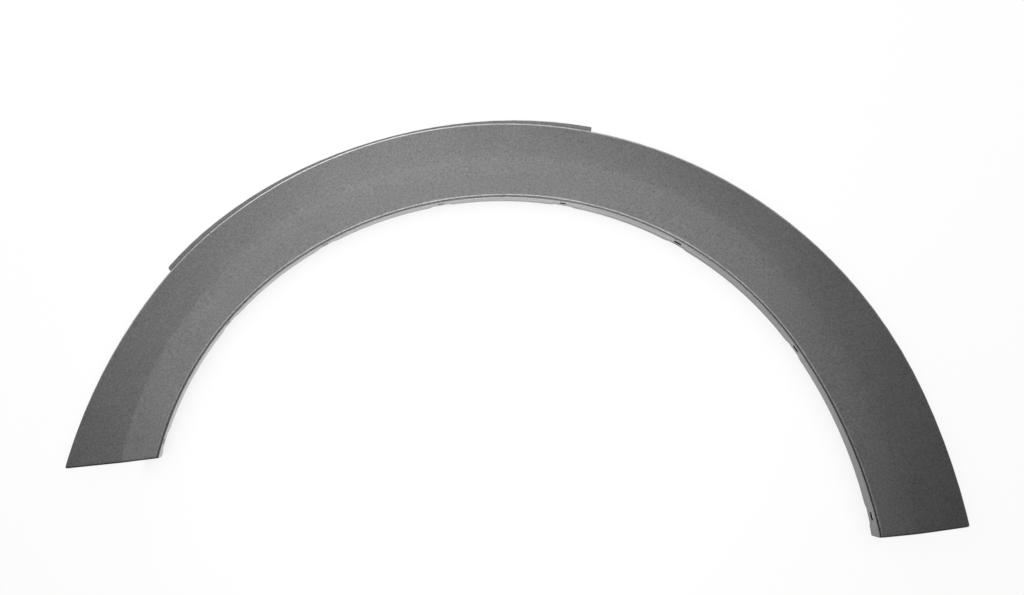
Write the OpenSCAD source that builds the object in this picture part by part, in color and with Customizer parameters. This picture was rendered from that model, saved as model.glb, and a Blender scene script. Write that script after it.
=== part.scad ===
// Wheel arch trim: the grained plastic moulding that frames the wheel opening of a car.
// It lies face up. X runs along the car, Y up the arch and Z out of the car.
// Three guide curves carry the section: the hem (back edge of the return flange),
// the brow (inner edge of the face) and the rim (outer edge of the face).
// Each guide curve is a chain of tangent arcs. A place along the arch is given by the
// direction of the brow's normal there, from the right end to the left end.

/* [Rim, the outer edge] */
// Arc radius of the rim at the right end, where it is straightest
rim_right_r = 710; // [680:10:740]
// Arc radius of the rim down the right leg
rim_leg_r = 480; // [476:1:484]
// Arc radius of the rim round the crown
rim_crown_r = 468; // [464:1:472]
// Arc radius of the rim round the left shoulder
rim_shoulder_r = 396; // [390:1:402]
// Arc radius of the rim down the left leg
rim_left_r = 545; // [530:5:560]
// Width of the face at the crown, from brow to rim
crown_w = 75.5; // [73:0.5:79]

/* [Brow, the inner edge of the face] */
// Arc radius of the brow down the right leg
brow_right_r = 538; // [524:2:552]
// Arc radius of the brow round the right shoulder
brow_shoulder_r = 360; // [356:1:364]
// Arc radius of the brow round the crown
brow_crown_r = 382; // [378:1:386]
// Arc radius of the brow down the left leg
brow_left_r = 341; // [337:1:345]
// Direction of the brow's normal at the right end, in degrees
right_end = 12.2; // [11.5:0.1:12.5]
// Direction of the brow's normal at the left end, in degrees
left_end = 166.3; // [166:0.1:167]
// Turn of the right end cut away from square, in degrees
right_cut = -6.4; // [-9:0.2:0]
// Turn of the left end cut away from square, in degrees
left_cut = 20.6; // [10:0.2:24]

/* [Hem, the back edge of the return flange] */
// Lean of the flange into the wheel opening at the crown
crown_lean = 4.1; // [3:0.1:4.5]
// Arc radius of the hem down the right leg
hem_right_r = 485; // [477:1:492]
// Arc radius of the hem round the right shoulder
hem_shoulder_r = 366; // [363:1:369]
// Arc radius of the hem round the crown
hem_crown_r = 378; // [377:1:381]
// Arc radius of the hem down the left leg
hem_left_r = 340; // [337:1:343]

/* [Face section] */
// Height of the brow above the hem at the crown
brow_h = 24; // [23:0.5:27]
// How much higher the brow stands at the two ends than at the crown
end_rise = 2.5; // [0:0.5:3]
// Height of the rim's edge above the hem
rim_h = 12; // [11:0.5:13]
// Distance of the crease from the brow
crease_u = 37; // [33:0.5:41]
// Height of the crease over a straight line from brow to rim, at the crown
crease_crown = 6; // [3:0.25:7]
// Height of the crease over a straight line from brow to rim, at the ends
crease_end = 8; // [4:0.25:9]
// Blend length of the crease down the left leg, where it is sharp
crease_sharp = 1; // [0.5:0.1:4]
// Blend length of the crease down the right leg
crease_soft = 14; // [8:0.5:24]
// Blend length of the crease over the crown
crease_faint = 30; // [20:1:40]
// Wall thickness of the face
wall_t = 2.8; // [2.6:0.1:3]
// Wall thickness of the return flange
flange_t = 2.4; // [2.2:0.1:2.6]
// Depth of the groove between the face and the flange
groove_d = 1.6; // [1:0.1:1.8]

/* [Flange slots] */
// Length along the flange of the three slots down the right leg
slot_long = 8.5; // [8:0.5:10]
// Length of the other five slots
slot_short = 6.2; // [5.6:0.2:7]
// Height of a slot
slot_h = 6; // [5:0.5:6.5]
// Radius of a slot's corners
slot_r = 1.5; // [1:0.25:2]
// Height of the slots' centre above the hem
slot_z = 11.5; // [10.5:0.5:12]
// Depth of the pad around a slot
pad_d = 0.8; // [0.5:0.1:1.8]
// Half length of the flat part of a pad
pad_half = 8; // [7:0.5:9.5]
// Length of the ramp at each end of a pad
pad_ramp = 4; // [2:0.5:4]

/* [Tongue outside the rim] */
// How far the tongue stands out of the rim where it is narrowest
tongue_w = 1.5; // [1:0.25:3]
// How far it stands out towards its two ends
tongue_end_w = 4.6; // [3.5:0.1:6]
// Thickness of the tongue
tongue_t = 2; // [1.6:0.1:2.2]
// Direction of the rim's normal at the tongue's right end, in degrees
tongue_right = 79.2; // [76:0.2:84]
// Direction of the rim's normal at the tongue's left end, in degrees
tongue_left = 138.8; // [135:0.2:141]

/* [Back of the moulding] */
// Length of a clip tower along the arch
tower_l = 26; // [24:1:28]
// Width of a clip tower across the face
tower_w = 18; // [16:1:20]
// Width of the clip slot in a tower
clip_w = 8; // [7:0.5:9]
// Height of the towers' feet above the hem
tower_z = 7; // [6.5:0.5:8]
// Wall thickness of towers and end walls
tower_t = 2; // [1.8:0.1:2.2]
// Thickness of a cross rib
rib_t = 1.8; // [1.5:0.1:2]
// Depth of a cross rib below the face
rib_d = 5; // [4:0.5:6]
// Diameter of a locating pin
pin_d = 6; // [5:0.5:6.5]

/* [Hidden] */
trim_grey = [0.33, 0.34, 0.35];

// Directions at which the arcs of the brow and the hem join: leg, shoulder, crown, leg
joins = [35, 80, 125];
// The same for the rim: end, leg, crown, shoulder, leg
rim_joins = [25, 60, 130, 142];
// Which arc of a guide curve is the one round the crown
crown_arc = 2;
// Centres of the crown arcs, measured from the middle of the wheel opening
brow_mid = [-7.1, -5.6];
rim_mid = [-6.5, brow_mid.y + brow_crown_r + crown_w - rim_crown_r];
hem_mid = [-10.1, brow_mid.y + brow_crown_r - crown_lean - hem_crown_r];
BROW = guide(brow_mid, [brow_right_r, brow_shoulder_r, brow_crown_r, brow_left_r], joins);
RIM = guide(rim_mid, [rim_right_r, rim_leg_r, rim_crown_r, rim_shoulder_r, rim_left_r], rim_joins);
HEM = guide(hem_mid, [hem_right_r, hem_shoulder_r, hem_crown_r, hem_left_r], joins);

// Directions of the eight slots, from the right end to the left end: first the long ones
long_slots = [14.5, 34.8, 61];
short_slots = [81, 100, 119, 140, 163.5];
slots = concat(long_slots, short_slots);
// Directions of the clip towers, between the slots, and of the two locating pins
towers = [24.5, 48, 71, 90.5, 109.5, 129.5, 151.5];
pins = [30, 145.5];
// How far a cross rib stands from the middle of a clip tower, along the arch
rib_gap = 22;
// Direction of the crown, where the face is plainest
crown_phi = 92;

// Small sizes of the section
rim_back = 7; // height of the rim's back edge
rim_t = 2.6; // wall thickness of the rim
edge_r = 1.2; // rounding of the brow and of the end cuts
corner_r = 2; // rounding of the two corners between rim and end cut
round_l = 2.2; // length along the brow of the rounding at an end cut
rim_edge_r = 1.6; // rounding of the rim
face_start = 2.3; // distance from the middle of the groove to the face
under_start = 5.2; // the same for the back of the face
pad_top = 9; // how far below the brow a pad starts to fade out
pad_fade = 6.5; // how far below the brow it has gone
slot_lip = 0.6; // flat part of a slot's lower edge, on the visible side
slot_drop = 4; // how far its rest slopes down to the hidden side
tongue_z = 7.6; // height of the tongue's back
tongue_mid = 105; // direction where the tongue is narrowest
tongue_spread = 30; // turn from there to its full width, in degrees
tongue_corners = [1.2, 3]; // rounding of its right and left end
tower_in = 30; // distance from the rim to the middle of a tower or pin
pin_z = 3; // height where a pin's straight part starts
foot_z = 10; // height where it meets its foot
station_step = 2.5; // widest step between two stations of the sweep, in degrees

function unit(a) = [cos(a), sin(a)];
function mix(a, b, t) = a + (b - a) * t;
function within(t) = max(0, min(1, t));
function ease(t) = let (s = within(t)) s * s * (3 - 2 * s);

// Share of a rounding at a place given from 1, at the edge, to 0, where the rounding starts
function round_share(t) = let (s = within(t)) 1 - sqrt(1 - s * s);
// Turn in degrees over a length d of an arc
function turn_over(d, r) = d * 180 / PI / r;

// A guide curve: the centres and radii of its arcs, and the directions at which they join
function centre(mid, r, at, i) =
    i < crown_arc ? centre(mid, r, at, i + 1) + (r[i + 1] - r[i]) * unit(at[i]) :
    i > crown_arc ? centre(mid, r, at, i - 1) + (r[i - 1] - r[i]) * unit(at[i - 1]) : mid;
function guide(mid, r, at) = [[for (i = [0:len(at)]) centre(mid, r, at, i)], r, at];
function arc_at(curve, phi) = len([for (a = curve[2]) if (phi >= a) a]);
function radius(curve, phi) = curve[1][arc_at(curve, phi)];
function point(curve, phi) = curve[0][arc_at(curve, phi)] + radius(curve, phi) * unit(phi);
function brow(phi) = point(BROW, phi);
// Direction at a place that lies the length d along the brow from phi
function along(phi, d) =
    let (r = radius(BROW, phi), to = phi + turn_over(d, r),
         crossed = [for (a = joins) if ((a - phi) * (a - to) < 0) a])
    len(crossed) == 0 ? to : crossed[0] + (to - crossed[0]) * r / radius(BROW, to);

// Distance from p in direction e to the far side of a circle
function to_circle(centre, r, p, e) =
    let (q = p - centre, b = q * e)
    -b + sqrt(b * b - q * q + r * r);
// Distance from p in direction e to a guide curve
function reach(curve, p, e) =
    let (last = len(curve[2]),
         d = [for (i = [0:last]) to_circle(curve[0][i], curve[1][i], p, e)],
         v = [for (i = [0:last]) p + d[i] * e - curve[0][i]],
         on = [for (i = [0:last]) if (i == last || atan2(v[i].y, v[i].x) < curve[2][i]) i])
    d[on[0]];

// Direction of the section at a station: square to the brow, turned near the ends
function heading(phi) =
    phi + right_cut * ease((right_end + 20 - phi) / 20) + left_cut * ease((phi - left_end + 32) / 32);

// How near a station is to an end: 0 at the crown and 1 at either end
function end_share(phi) =
    let (half = phi < crown_phi ? crown_phi - right_end : left_end - crown_phi)
    pow((phi - crown_phi) / half, 2);
function brow_z(phi) = brow_h + end_rise * end_share(phi);
function crease_blend(phi) = phi < crown_phi
    ? mix(crease_soft, crease_faint, ease((phi - 45) / 35))
    : mix(crease_faint, crease_sharp, ease((phi - 122) / 20));

// Height of the face at distance u from the brow, where the face is w wide:
// a straight line from brow to rim, and over it a crease with a blended top
function face_z(phi, w, u) =
    let (rise = mix(crease_crown, crease_end, end_share(phi)),
         k = rise * w / (2 * crease_u * (w - crease_u)),
         s = crease_blend(phi),
         root = function (d) sqrt(d * d + s * s),
         line = mix(root(crease_u), root(w - crease_u), u / w))
    mix(brow_z(phi), rim_h, u / w) + k * (line - root(u - crease_u));

// Distances across the face, closer together near the crease: v runs from -1 to 1
function face_u(v, u0, u1) =
    crease_u + (v < 0 ? u0 - crease_u : u1 - crease_u) * pow(abs(v), 2.2);

// Where each pad starts, is flat and ends, and the share of its full depth at a station
pad_ends = [-pad_half - pad_ramp, -pad_half, pad_half, pad_half + pad_ramp];
pads = [for (s = slots) [for (d = pad_ends) along(s, d)]];
function pad_share(phi) =
    max([for (p = pads) min(within((phi - p[0]) / (p[1] - p[0])), within((p[3] - phi) / (p[3] - p[2])))]);

// Share of the rounding at an end cut: 1 at the cut, 0 where the rounding starts
function end_round(phi) =
    let (full = [for (r = [brow_right_r, brow_left_r]) turn_over(round_l, r)])
    round_share(1 - min((phi - right_end) / full[0], (left_end - phi) / full[1]));

// Visible side of the flange at height z, without its pads
function flange_u(lean, h, z) = mix(lean, -edge_r, within(z / (h - 2)));

// Section at a station as [distance from the brow, height], in two chains that both run
// from the hem to the rim: the visible side, and the hidden side behind it
function section(phi) =
    let (p = brow(phi), e = unit(heading(phi)),
         w = reach(RIM, p, e), lean = reach(HEM, p, e), h = brow_z(phi),
         sink = pad_d * pad_share(phi),
         cut = edge_r * end_round(phi),
         f = function (z) flange_u(lean, h, z),
         groove_z = h - groove_d - 2,
         rim_u = w - corner_r * end_round(phi),
         rim_z = rim_h - cut,
         inner = rim_u - rim_t,
         under = function (u) [u, face_z(phi, w, u) - wall_t])
    [concat(
        [[f(0) + sink + 0.6, 0], [f(0) + sink, 0.8]],
        [[f(h - pad_top) + sink, h - pad_top], [f(h - pad_fade), h - pad_fade]],
        [[-edge_r, h - 2.8], [-0.7, h - 2], [-0.4, groove_z], [0.3, groove_z]],
        [[0.7, h - 1.5 - cut], [1, h - 0.6 - cut], [1.6, h - 0.15 - cut]],
        [for (i = [-6:6])
            let (u = face_u(i / 6, face_start, rim_u - rim_edge_r)) [u, face_z(phi, w, u) - cut]],
        [[rim_u - 0.75, rim_z + 0.1], [rim_u - 0.2, rim_z - 0.5], [rim_u, rim_z - 1.3]],
        [[rim_u, rim_back + 0.6], [rim_u - 0.6, rim_back]]),
     concat(
        [[f(0) + sink + flange_t - 0.6, 0], [f(0) + sink + flange_t, 0.8]],
        [[f(h - pad_top) + sink + flange_t, h - pad_top], [f(h - pad_fade) + flange_t, h - pad_fade]],
        [[2.2, h - 5.2], [3.4, h - 3.6]],
        [for (i = [-3:3]) under(face_u(i / 3, under_start, inner - 1.8))],
        [under(inner - 0.2) - [0, 1], [inner, rim_back + 0.6], [inner + 0.4, rim_back]])];

// Which point of the hidden side lies behind each point of the visible side
behind = concat(
    [0, 1, 2, 3, 4, 4, 4, 5, 5, 5, 6],
    [for (i = [0:12]) 6 + ceil(i / 2)],
    [12, 13, 13, 14, 15]);

// Stations of the sweep: both sides of every pad and ramp, the end roundings,
// and even steps in between
corner_stops = [0, 0.12, 0.45, 1];
round_stops = corner_stops * round_l;
stops = concat(
    [for (d = round_stops) along(right_end, d)],
    [for (p = pads) each p],
    [for (i = [3:-1:0]) along(left_end, -round_stops[i])]);
stations = concat(
    [for (i = [0:len(stops) - 2])
        let (n = ceil((stops[i + 1] - stops[i]) / station_step))
        for (k = [0:n - 1]) mix(stops[i], stops[i + 1], k / n)],
    [left_end]);

// A section point as a point in space
function placed(phi, q) = let (xy = brow(phi) + q.x * unit(heading(phi))) [xy.x, xy.y, q.y];

// The shell of the moulding: face, rim, groove and return flange in one sweep.
// Each ring of points goes up the visible side and back down the hidden side
front_n = len(behind);
rings = [for (phi = stations) let (chains = section(phi), m = len(chains[1]))
    [for (q = concat(chains[0], [for (j = [m - 1:-1:0]) chains[1][j]])) placed(phi, q)]];
shell_points = [for (ring = rings) each ring];
module shell() {
    n = len(rings[0]);
    last = (len(rings) - 1) * n;
    sides = [for (i = [0:len(rings) - 2], j = [0:n - 1])
        let (a = i * n + j, b = i * n + (j + 1) % n)
        each [[a, b + n, b], [a, a + n, b + n]]];
    cap = [for (j = [0:front_n - 2])
        let (a = n - 1 - behind[j], b = n - 1 - behind[j + 1])
        a == b ? [j, j + 1, a] : [j, j + 1, b, a]];
    far = [for (f = cap) [for (k = [len(f) - 1:-1:0]) last + f[k]]];
    polyhedron(shell_points, concat(sides, cap, far));
}

// Places its children at a station, X away from the wheel opening and Y along the arch
module at_station(phi, turn = 0) {
    translate(brow(phi)) rotate(phi + turn) children();
}

// A plate across the face: its outline is given as [distance from the brow, height]
module plate(outline, t) {
    rotate([90, 0, 0]) linear_extrude(t, center = true) polygon(outline);
}

// Width of the face in a direction turned from the brow's normal, and the middle
// of the wall at distance u from the brow in that direction
function face_w(phi, turn = 0) = reach(RIM, brow(phi), unit(phi + turn));
function wall_z(phi, u, turn = 0) = face_z(phi, face_w(phi, turn), u) - wall_t / 2;

// Middle line of the wall from the flange to the rim, for what is joined to it
function wall_line(phi, foot, turn = 0) =
    let (w = face_w(phi, turn), h = brow_z(phi), lean = reach(HEM, brow(phi), unit(phi + turn)),
         f = function (z) flange_u(lean, h, z) + flange_t / 2,
         sink = pad_d * pad_share(phi))
    concat(
        [[f(foot) + sink, foot], [f(h - pad_top) + sink, h - pad_top], [f(h - pad_fade), h - pad_fade]],
        [[1.4, h - 4.8], [4, h - wall_t / 2 - 0.2]],
        [for (u = [8, 20, crease_u, 50, w - 14, w - rim_t / 2]) [u, wall_z(phi, u, turn)]]);

// A cross rib: deep at the flange, shallow under the face
module cross_rib(phi) {
    w = face_w(phi);
    h = brow_z(phi);
    below = function (u) [u, wall_z(phi, u) - rib_d];
    at_station(phi) plate(concat(
        wall_line(phi, 3),
        [[w - rim_t / 2, rim_back + 1], below(w - 10), below(50), below(crease_u), below(24)],
        [[14, h - 10], [8, h - 14], [5, 3]]), rib_t);
}

// The wall that closes the channel at an end cut
module end_wall(phi, turn, side) {
    w = face_w(phi, turn);
    edge = [[w - rim_t / 2, rim_back + 1], [w - 12, rim_back], [12, 2]];
    at_station(phi, turn) translate([0, side * (tower_t / 2 + 0.4), 0])
        plate(concat(wall_line(phi, 2, turn), edge), tower_t);
}

// Space below the middle of the wall, for what stands on the back of the face
module under_face(phi, u0, u1, t) {
    top = [for (k = [4:-1:0]) let (u = mix(u0, u1, k / 4)) [u, wall_z(phi, u)]];
    plate(concat([[u0, 0], [u1, 0]], top), t);
}

// A clip tower: a box open towards the flange, with a slot that a clip slides into
module clip_tower(phi) {
    u1 = face_w(phi) - tower_in + tower_w / 2;
    u0 = u1 - tower_w;
    tall = brow_z(phi);
    at_station(phi) difference() {
        intersection() {
            translate([u0, -tower_l / 2, tower_z]) cube([tower_w, tower_l, tall]);
            under_face(phi, u0 - 1, u1 + 1, tower_l + 2);
        }
        translate([u0 - 1, -tower_l / 2 + tower_t, tower_z + tower_t])
            cube([tower_w + 1 - tower_t, tower_l - 2 * tower_t, tall]);
        translate([u0 - 1, -clip_w / 2, tower_z - 1]) cube([tower_w / 2 + 1, clip_w, tower_t + 2]);
        translate([u0 + tower_w / 2, 0, tower_z - 1]) cylinder(h = tower_t + 2, d = clip_w, $fn = 48);
    }
}

// A locating pin with a tapered tip, on a round foot
module locating_pin(phi) {
    u = face_w(phi) - tower_in;
    foot_d = pin_d + 4;
    at_station(phi) translate([u, 0, 0]) {
        translate([0, 0, pin_z - 1]) cylinder(h = 1, d1 = pin_d - 2, d2 = pin_d, $fn = 48);
        translate([0, 0, pin_z]) cylinder(h = foot_z - pin_z + 1, d = pin_d, $fn = 48);
    }
    at_station(phi) intersection() {
        translate([u, 0, foot_z]) cylinder(h = brow_z(phi), d = foot_d, $fn = 48);
        under_face(phi, u - foot_d / 2 - 1, u + foot_d / 2 + 1, foot_d + 2);
    }
}

// The tongue: a thin lip outside the rim, set back behind the face. It is widest
// towards its two ends, which have round corners
tongue_turns = [for (c = tongue_corners) turn_over(c, rim_crown_r)];
function tongue_edge(phi) =
    let (w = mix(tongue_w, tongue_end_w, ease(abs(phi - tongue_mid) / tongue_spread)),
         right = tongue_corners[0] * round_share(1 - (phi - tongue_right) / tongue_turns[0]),
         left = tongue_corners[1] * round_share(1 - (tongue_left - phi) / tongue_turns[1]))
    point(RIM, phi) + (w - right - left) * unit(phi);
tongue_steps = ceil((tongue_left - tongue_right) / station_step);
tongue_stops = concat(
    [for (s = corner_stops) tongue_right + s * tongue_turns[0]],
    [for (k = [1:tongue_steps - 1]) mix(tongue_right, tongue_left, k / tongue_steps)],
    [for (i = [3:-1:0]) tongue_left - corner_stops[i] * tongue_turns[1]]);
tongue_outline = [for (phi = tongue_stops) tongue_edge(phi)];
module tongue() {
    root = rim_t / 2 + 0.2;
    inner = [for (i = [len(tongue_stops) - 1:-1:0])
        let (phi = tongue_stops[i]) point(RIM, phi) - root * unit(phi)];
    translate([0, 0, tongue_z]) linear_extrude(tongue_t) polygon(concat(tongue_outline, inner));
}

// A rectangle about the origin with round corners
module rounded(size, r) {
    square([size.x - 2 * r, size.y], center = true);
    square([size.x, size.y - 2 * r], center = true);
    for (x = [-1, 1], y = [-1, 1])
        translate([x * (size.x / 2 - r), y * (size.y / 2 - r)]) circle(r, $fn = 32);
}

// What a slot takes out of the flange. Behind a narrow lip its lower edge slopes down
// to the hidden side, so that a clip's leg can swing in
module flange_slot(phi, length) {
    low = slot_z - slot_h / 2;
    lip = flange_u(reach(HEM, brow(phi), unit(phi)), brow_z(phi), low) + pad_d + slot_lip;
    back = lip - slot_lip + flange_t + 0.3;
    slope = [[lip, low + 1], [lip, low], [back, low - slot_drop], [back, low + 1]];
    at_station(phi) {
        translate([-8, 0, slot_z]) rotate([0, 90, 0]) linear_extrude(14) rounded([slot_h, length], slot_r);
        plate(slope, length - 2 * slot_r + 1);
    }
}

// Middle of the moulding's footprint, which becomes the origin
xs = [for (q = shell_points) q.x];
ys = [for (q = shell_points) q.y];
top_y = max(max(ys), max([for (q = tongue_outline) q.y]));
middle = [(min(xs) + max(xs)) / 2, (min(ys) + top_y) / 2];

module arch_trim() {
    color(trim_grey) translate([-middle.x, -middle.y, 0]) difference() {
        union() {
            shell();
            tongue();
            end_wall(right_end, right_cut, 1);
            end_wall(left_end, left_cut, -1);
            for (t = towers) {
                clip_tower(t);
                for (side = [-1, 1]) cross_rib(along(t, side * rib_gap));
            }
            for (p = pins) locating_pin(p);
        }
        for (s = long_slots) flange_slot(s, slot_long);
        for (s = short_slots) flange_slot(s, slot_short);
    }
}

arch_trim();
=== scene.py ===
"""Looks, light and camera for the wheel arch trim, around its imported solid. Lengths are metres."""
import math

import bpy
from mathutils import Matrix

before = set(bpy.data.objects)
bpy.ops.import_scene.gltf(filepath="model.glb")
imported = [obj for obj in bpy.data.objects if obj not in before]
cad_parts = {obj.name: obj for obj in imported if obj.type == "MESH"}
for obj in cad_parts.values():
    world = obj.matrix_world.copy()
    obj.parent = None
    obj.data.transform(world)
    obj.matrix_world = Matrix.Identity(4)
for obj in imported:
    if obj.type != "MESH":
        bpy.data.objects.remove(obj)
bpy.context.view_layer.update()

# The photograph: its width in pixels, and what one pixel is worth at the height of the face
PHOTO_W = 1024
PIXEL = 0.00102
FACE_Z = 0.025
# The camera looks straight down on this place from this height, and its sensor is this wide
AIM_X = -0.0056
AIM_Y = 0.0318
CAMERA_Z = 2.0
SENSOR = 0.036

# The two end cuts, left and right: direction out of the leg, and how far that way the cut lies
END_CUTS = [((0.12, -0.993, 0.0), 0.0868), ((0.101, -0.995, 0.0), 0.2494)]
# The left cut counts up to the first X, and the right cut from the second X on
BETWEEN_CUTS = (-0.01, 0.01)

# Zones of the surface: a measure's value where the zone is off, and its value where it is fully on.
# Slope is the normal's Z, sharpness is high on edges and low in grooves, gap is the way to an end cut
GRAIN_TILT = (0.7, 0.92)
CROWN_Y = (-0.1, 0.12)
FRONT_SLOPE = (0.1, 0.2)
FRONT_Z = (0.0100, 0.0104)
EDGE_SHARPNESS = (0.5125, 0.516)
EDGE_GAP = (0.003, 0.02)
GROOVE_SHARPNESS = (0.503, 0.488)
SILL_SLOPE = (0.2, 0.4)
SILL_Z = (0.0093, 0.0091)
CUT_GAP = (0.0016, 0.0006)

# The plastic: its plain colour, and the speckle and slow clouds in it, each a noise scale and a range
PLAIN_COLOUR = (0.105, 0.105, 0.105)
SPECKLE = (560.0, 0.7, 1.3)
CLOUDS = (24.0, 0.96, 1.04)
# How many times lighter it is in each zone, where light and shade are painted in. Edges and groove change
# from the legs' ends to the crown
# Painted highlight on the edges, stronger towards the crown, where the light falls
EDGE_HIGHLIGHT_TONE = (1.25, 3.0)
# Painted light in the groove at the crown, and painted shade in it on the legs
GROOVE_LIGHT_AND_SHADE_TONE = (0.8, 1.7)
# Painted shade in the slots' sills
SILL_SHADE_TONE = 0.1
# Painted shade along the end cuts
CUT_SHADE_TONE = 0.45
# Its roughness on steep walls and on grained faces, the patches in it, and its factor in two zones
ROUGHNESS = (0.3, 0.48)
GLOSS_PATCHES = (160.0, 0.92, 1.08)
EDGE_ROUGHNESS = 0.7
GROOVE_ROUGHNESS = 0.6
# How much it reflects, except on the slots' sills, whose painted shade it leaves black, and its index of
# refraction
REFLECTION = 0.5
PLASTIC_IOR = 1.49
# Its moulded grain: noise scale, height, and depth on steep walls and on grained faces
GRAIN_SCALE = 1100.0
GRAIN_HEIGHT = 0.0001
GRAIN_DEPTH = (0.1, 0.7)

# Facets that meet at less than this angle are shaded as one surface
SMOOTH_ANGLE = math.radians(30)
WELD_DISTANCE = 0.00001

# The floor is a disc just under the part. Its glow runs from near the part to far off
FLOOR_R = 4.0
FLOOR_Z = -0.0002
FLOOR_GLOW = (0.93, 1.0)
GLOW_REACH = (0.5, 1.3)
FLOOR_TINT = (0.07, 0.07, 0.07, 1)
# Middle and radius of the wheel opening, in which the part's contact shadow lies
OPENING = (-0.0127, -0.2467, 0.0)
OPENING_R = 0.39
OPENING_FADE = 0.005
SHADOW_REACH = 0.03
SHADOW_FALL = 1.6
SHADOW_GLOW = 0.63
SHADOW_SAMPLES = 4

WHITE = (1, 1, 1, 1)
# Light of the room on the object: white table and walls, up to this height, and a dim ceiling
WALL_LIGHT = 1.3
LEFT_WALL_LIGHT = 0.75
LEFT_WALL_X = (-0.2, -0.05)
WALL_TOP = 0.35
CEILING_LIGHT = 0.1
# Softboxes: name, place, width, height and power in watts. Each is turned towards the middle of the part
SOFTBOXES = [
    ("key", (-0.052, 0.023, 0.367), 0.68, 0.68, 3.5),
    ("back", (-0.727, 1.373, 0.35), 0.9, 0.5, 19.6),
]


def find_socket(node, name):
    """The node's input by its name, with _ for a space, or by its number, such as i0."""
    if name[0] == "i" and name[1:].isdigit():
        return node.inputs[int(name[1:])]
    return node.inputs[name.replace("_", " ")]


def add_node(tree, kind, props=None, **values):
    """A shader node with its settings and its sockets' values; a node's output links to a socket."""
    node = tree.nodes.new(kind)
    for name, value in (props or {}).items():
        setattr(node, name, value)
    for name, value in values.items():
        socket = find_socket(node, name)
        if isinstance(value, bpy.types.NodeSocket):
            tree.links.new(value, socket)
        else:
            socket.default_value = value
    return node


def new_material(name):
    material = bpy.data.materials.new(name)
    material.use_nodes = True
    material.node_tree.nodes.clear()
    return material, material.node_tree


def noise(tree, coords, scale, rough=0.5):
    node = add_node(
        tree, "ShaderNodeTexNoise", Vector=coords, Scale=scale, Detail=2.0, Roughness=rough,
    )
    return node.outputs["Fac"]


def ramp(tree, value, low, high, start=0.0, end=1.0, easing="LINEAR"):
    """From start, where the value is low, to end, where it is high."""
    node = add_node(
        tree, "ShaderNodeMapRange", props={"interpolation_type": easing},
        Value=value, From_Min=low, From_Max=high, To_Min=start, To_Max=end,
    )
    return node.outputs["Result"]


def patches(tree, coords, scale, low, high, rough=0.5):
    """Noise of this scale. Its usual values, 0.3 to 0.7, are brought to the range low to high."""
    return ramp(tree, noise(tree, coords, scale, rough), 0.3, 0.7, low, high)


def in_zone(tree, share, factor):
    """1 outside a zone and the factor inside it."""
    return ramp(tree, share, 0.0, 1.0, 1.0, factor)


def calculate(tree, operation, *values):
    inputs = {"i%d" % number: value for number, value in enumerate(values)}
    return add_node(tree, "ShaderNodeMath", props={"operation": operation}, **inputs).outputs[0]


def multiply(tree, *values):
    result = values[0]
    for value in values[1:]:
        result = calculate(tree, "MULTIPLY", result, value)
    return result


def measure(tree, operation, place, other):
    """A number worked out from a place and a fixed vector."""
    node = add_node(tree, "ShaderNodeVectorMath", props={"operation": operation}, i0=place, i1=other)
    return node.outputs["Value"]


def split(tree, vector):
    return add_node(tree, "ShaderNodeSeparateXYZ", Vector=vector).outputs


def end_gap(tree, coords):
    """Way to the end cut of the leg that the place is on."""
    gaps = []
    for toward, reach in END_CUTS:
        along = measure(tree, "DOT_PRODUCT", coords, toward)
        gaps.append(calculate(tree, "SUBTRACT", reach, along))
    return ramp(tree, split(tree, coords)["X"], *BETWEEN_CUTS, *gaps)


def surface_zones(tree, place):
    """Shares of the surface from 0 to 1, from its slope, place and sharpness in the part's own frame."""
    coords = place.outputs["Object"]
    slope = split(tree, place.outputs["Normal"])["Z"]
    height = split(tree, coords)["Z"]
    sharpness = add_node(tree, "ShaderNodeNewGeometry").outputs["Pointiness"]
    tilt = calculate(tree, "ABSOLUTE", slope)
    gap = end_gap(tree, coords)
    front = multiply(tree, ramp(tree, slope, *FRONT_SLOPE), ramp(tree, height, *FRONT_Z))
    return {
        "grained": ramp(tree, tilt, *GRAIN_TILT),
        "crown": ramp(tree, split(tree, coords)["Y"], *CROWN_Y),
        "edge": multiply(tree, front, ramp(tree, sharpness, *EDGE_SHARPNESS), ramp(tree, gap, *EDGE_GAP)),
        "groove": multiply(tree, front, ramp(tree, sharpness, *GROOVE_SHARPNESS)),
        "sill": multiply(tree, ramp(tree, slope, *SILL_SLOPE), ramp(tree, height, *SILL_Z)),
        "cut": multiply(tree, front, ramp(tree, gap, *CUT_GAP)),
    }


def tone_and_painted_light(tree, coords, zone):
    """How much lighter or darker the plastic is than its plain colour: its random tone, and light and
    shade painted on edges, groove, sills and end cuts.
    """
    return multiply(
        tree,
        patches(tree, coords, *CLOUDS),
        patches(tree, coords, *SPECKLE, rough=0.6),
        # Painted highlight on the edges, and painted light and shade in the groove
        in_zone(tree, zone["edge"], ramp(tree, zone["crown"], 0.0, 1.0, *EDGE_HIGHLIGHT_TONE)),
        in_zone(tree, zone["groove"], ramp(tree, zone["crown"], 0.0, 1.0, *GROOVE_LIGHT_AND_SHADE_TONE)),
        # Painted shade on the slots' sills and along the end cuts
        in_zone(tree, zone["sill"], SILL_SHADE_TONE),
        in_zone(tree, zone["cut"], CUT_SHADE_TONE),
    )


def plastic_roughness(tree, coords, zone):
    polished = multiply(tree, zone["groove"], zone["crown"])
    return multiply(
        tree,
        ramp(tree, zone["grained"], 0.0, 1.0, *ROUGHNESS),
        patches(tree, coords, *GLOSS_PATCHES),
        in_zone(tree, zone["edge"], EDGE_ROUGHNESS),
        in_zone(tree, polished, GROOVE_ROUGHNESS),
    )


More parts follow.
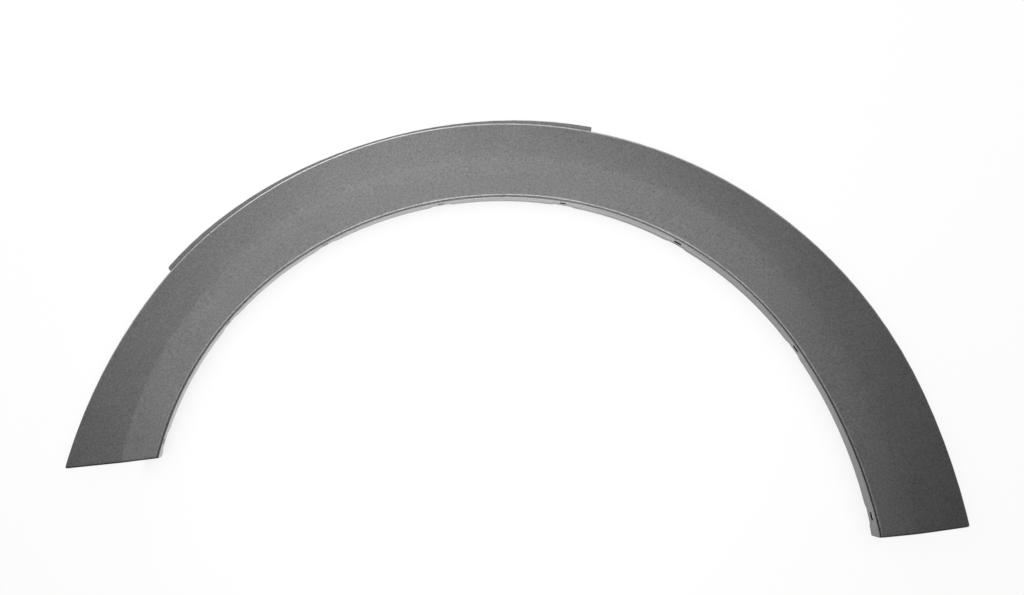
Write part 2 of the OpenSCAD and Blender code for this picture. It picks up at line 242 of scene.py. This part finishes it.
def moulded_grain(tree, coords, zone):
    """The normal of the fine grain, which is much shallower on steep walls."""
    bump = add_node(
        tree, "ShaderNodeBump", Height=noise(tree, coords, GRAIN_SCALE, rough=0.6),
        Strength=ramp(tree, zone["grained"], 0.0, 1.0, *GRAIN_DEPTH), Distance=GRAIN_HEIGHT,
    )
    return bump.outputs["Normal"]


def trim_plastic():
    """Graphite plastic with a moulded grain, glossier on edges, and with light and shade painted into its
    colour.
    """
    material, tree = new_material("trim_plastic")
    place = add_node(tree, "ShaderNodeTexCoord")
    coords = place.outputs["Object"]
    zone = surface_zones(tree, place)
    colour = add_node(
        tree, "ShaderNodeVectorMath", props={"operation": "SCALE"},
        i0=PLAIN_COLOUR, Scale=tone_and_painted_light(tree, coords, zone),
    )
    shader = add_node(
        tree, "ShaderNodeBsdfPrincipled", Base_Color=colour.outputs[0],
        Roughness=plastic_roughness(tree, coords, zone),
        # The sills' reflection is taken away, so that their painted shade stays black
        Specular_IOR_Level=ramp(tree, zone["sill"], 0.0, 1.0, REFLECTION, 0.0),
        Normal=moulded_grain(tree, coords, zone), IOR=PLASTIC_IOR,
    )
    add_node(tree, "ShaderNodeOutputMaterial", Surface=shader.outputs[0])
    return material


def smooth_by_angle(angle):
    """Nodes that shade facets smooth, and their edges sharp where they meet at the angle or more."""
    tree = bpy.data.node_groups.new("smooth_by_angle", "GeometryNodeTree")
    for in_out in ("INPUT", "OUTPUT"):
        tree.interface.new_socket("Geometry", in_out=in_out, socket_type="NodeSocketGeometry")
    start = tree.nodes.new("NodeGroupInput")
    bend = tree.nodes.new("GeometryNodeInputMeshEdgeAngle")
    soft = add_node(
        tree, "FunctionNodeCompare", props={"operation": "LESS_THAN"},
        A=bend.outputs["Unsigned Angle"], B=angle,
    )
    faces = add_node(
        tree, "GeometryNodeSetShadeSmooth", props={"domain": "FACE"}, Geometry=start.outputs[0],
    )
    edges = add_node(
        tree, "GeometryNodeSetShadeSmooth", props={"domain": "EDGE"},
        Geometry=faces.outputs[0], Shade_Smooth=soft.outputs[0],
    )
    end = tree.nodes.new("NodeGroupOutput")
    tree.links.new(edges.outputs[0], end.inputs[0])
    return tree


def smooth_faces(piece):
    weld = piece.modifiers.new("weld", "WELD")
    weld.merge_threshold = WELD_DISTANCE
    smooth = piece.modifiers.new("smooth", "NODES")
    smooth.node_group = smooth_by_angle(SMOOTH_ANGLE)
    weighted = piece.modifiers.new("normals", "WEIGHTED_NORMAL")
    weighted.keep_sharp = True


def dress_trim():
    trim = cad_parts["arch_trim"]
    trim.data.materials.clear()
    trim.data.materials.append(trim_plastic())
    smooth_faces(trim)


def floor_glow(tree, position):
    """Brightness of the floor, with the part's contact shadow inside the wheel opening."""
    sky = add_node(
        tree, "ShaderNodeAmbientOcclusion", props={"samples": SHADOW_SAMPLES}, Distance=SHADOW_REACH,
    )
    covered = calculate(tree, "POWER", ramp(tree, sky.outputs["AO"], 1.0, 0.0), SHADOW_FALL)
    reach = measure(tree, "DISTANCE", position, OPENING)
    inside = ramp(tree, reach, OPENING_R, OPENING_R - OPENING_FADE)
    plain = ramp(tree, reach, *GLOW_REACH, *FLOOR_GLOW)
    return ramp(tree, multiply(tree, covered, inside), 0.0, 1.0, plain, SHADOW_GLOW)


def floor_material():
    """White to the camera apart from shadows. The light of the world stands in for it on the object."""
    material, tree = new_material("floor_white")
    rays = add_node(tree, "ShaderNodeLightPath")
    side = add_node(tree, "ShaderNodeNewGeometry")
    shine = floor_glow(tree, side.outputs["Position"])
    glow = add_node(tree, "ShaderNodeEmission", Color=WHITE, Strength=shine)
    tint = add_node(tree, "ShaderNodeBsdfDiffuse", Color=FLOOR_TINT)
    seen = add_node(tree, "ShaderNodeAddShader", i0=glow.outputs[0], i1=tint.outputs[0])
    clear = add_node(tree, "ShaderNodeBsdfTransparent")
    above = calculate(tree, "SUBTRACT", 1.0, side.outputs["Backfacing"])
    shown = multiply(tree, rays.outputs["Is Camera Ray"], above)
    whole = add_node(tree, "ShaderNodeMixShader", i0=shown, i1=clear.outputs[0], i2=seen.outputs[0])
    add_node(tree, "ShaderNodeOutputMaterial", Surface=whole.outputs[0])
    return material


def add_floor():
    place = (0, 0, FLOOR_Z)
    bpy.ops.mesh.primitive_circle_add(vertices=96, radius=FLOOR_R, fill_type="NGON", location=place)
    floor = bpy.context.object
    floor.name = "floor"
    floor.data.materials.append(floor_material())


def light_world():
    """White to the camera. To the object it is a white table and walls under a dim ceiling."""
    world = bpy.data.worlds.new("studio")
    bpy.context.scene.world = world
    world.use_nodes = True
    tree = world.node_tree
    tree.nodes.clear()
    rays = add_node(tree, "ShaderNodeLightPath")
    direction = split(tree, add_node(tree, "ShaderNodeTexCoord").outputs["Generated"])
    wall = ramp(tree, direction["X"], *LEFT_WALL_X, LEFT_WALL_LIGHT, WALL_LIGHT)
    level = ramp(tree, direction["Z"], 0.0, WALL_TOP, wall, CEILING_LIGHT, easing="SMOOTHSTEP")
    room = add_node(tree, "ShaderNodeBackground", Color=WHITE, Strength=level)
    white = add_node(tree, "ShaderNodeBackground", Color=WHITE, Strength=1.0)
    mix = add_node(
        tree, "ShaderNodeMixShader",
        i0=rays.outputs["Is Camera Ray"], i1=room.outputs[0], i2=white.outputs[0],
    )
    add_node(tree, "ShaderNodeOutputWorld", Surface=mix.outputs[0])


def add_softbox(name, place, width, height, power):
    """A lamp that lights the part and isn't seen by the camera."""
    lamp = bpy.data.lights.new(name, "AREA")
    lamp.shape = "RECTANGLE"
    lamp.size = width
    lamp.size_y = height
    lamp.energy = power
    box = bpy.data.objects.new(name, lamp)
    box.location = place
    box.visible_camera = False
    box.rotation_mode = "QUATERNION"
    box.rotation_quaternion = box.location.to_track_quat("Z", "Y")
    bpy.context.scene.collection.objects.link(box)


def add_camera():
    """Straight above the trim, framed as the photograph is."""
    lens = bpy.data.cameras.new("camera")
    lens.sensor_width = SENSOR * 1000
    lens.lens = SENSOR * 1000 * (CAMERA_Z - FACE_Z) / (PHOTO_W * PIXEL)
    camera = bpy.data.objects.new("camera", lens)
    camera.location = (AIM_X, AIM_Y, CAMERA_Z)
    bpy.context.scene.collection.objects.link(camera)
    bpy.context.scene.camera = camera


dress_trim()
add_floor()
light_world()
for softbox in SOFTBOXES:
    add_softbox(*softbox)
add_camera()
bpy.context.scene.view_settings.view_transform = "Standard"
